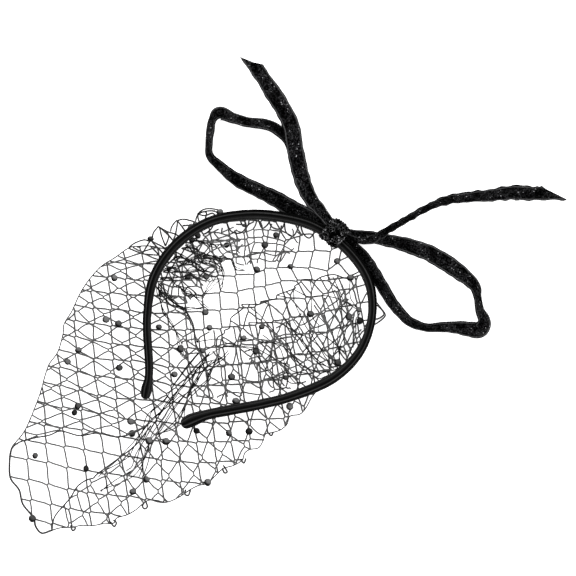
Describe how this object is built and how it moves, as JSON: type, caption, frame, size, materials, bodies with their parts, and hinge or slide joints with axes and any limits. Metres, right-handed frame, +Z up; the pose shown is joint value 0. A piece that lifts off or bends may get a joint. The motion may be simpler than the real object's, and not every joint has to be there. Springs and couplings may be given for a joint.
{
  "type": "mesh veil headband",
  "caption": "Thin wrapped headband with a dotted birdcage net veil folded over below it and a ribbon bow tied on its side, lying flat.",
  "frame": {"origin": "under the middle of the whole outline, on the surface that the headband lies on", "axes": "+X towards the bow's right tail, +Y towards the bow's left tail, +Z up from the surface"},
  "size_m": [0.324, 0.2768, 0.0164],
  "materials": {
    "satin_wrap": "satin wrap with a soft sheen",
    "glitter_ribbon": "matt ribbon with fine silver glitter",
    "veil_thread": "matt thread with flocked dots"
  },
  "bodies": {
    "root": {"headband": "satin_wrap", "bow_knot": "glitter_ribbon", "left_loop": "glitter_ribbon", "left_tail": "glitter_ribbon", "right_loop": "glitter_ribbon", "right_tail": "glitter_ribbon", "veil_net": "veil_thread"}
  },
  "joints": []
}
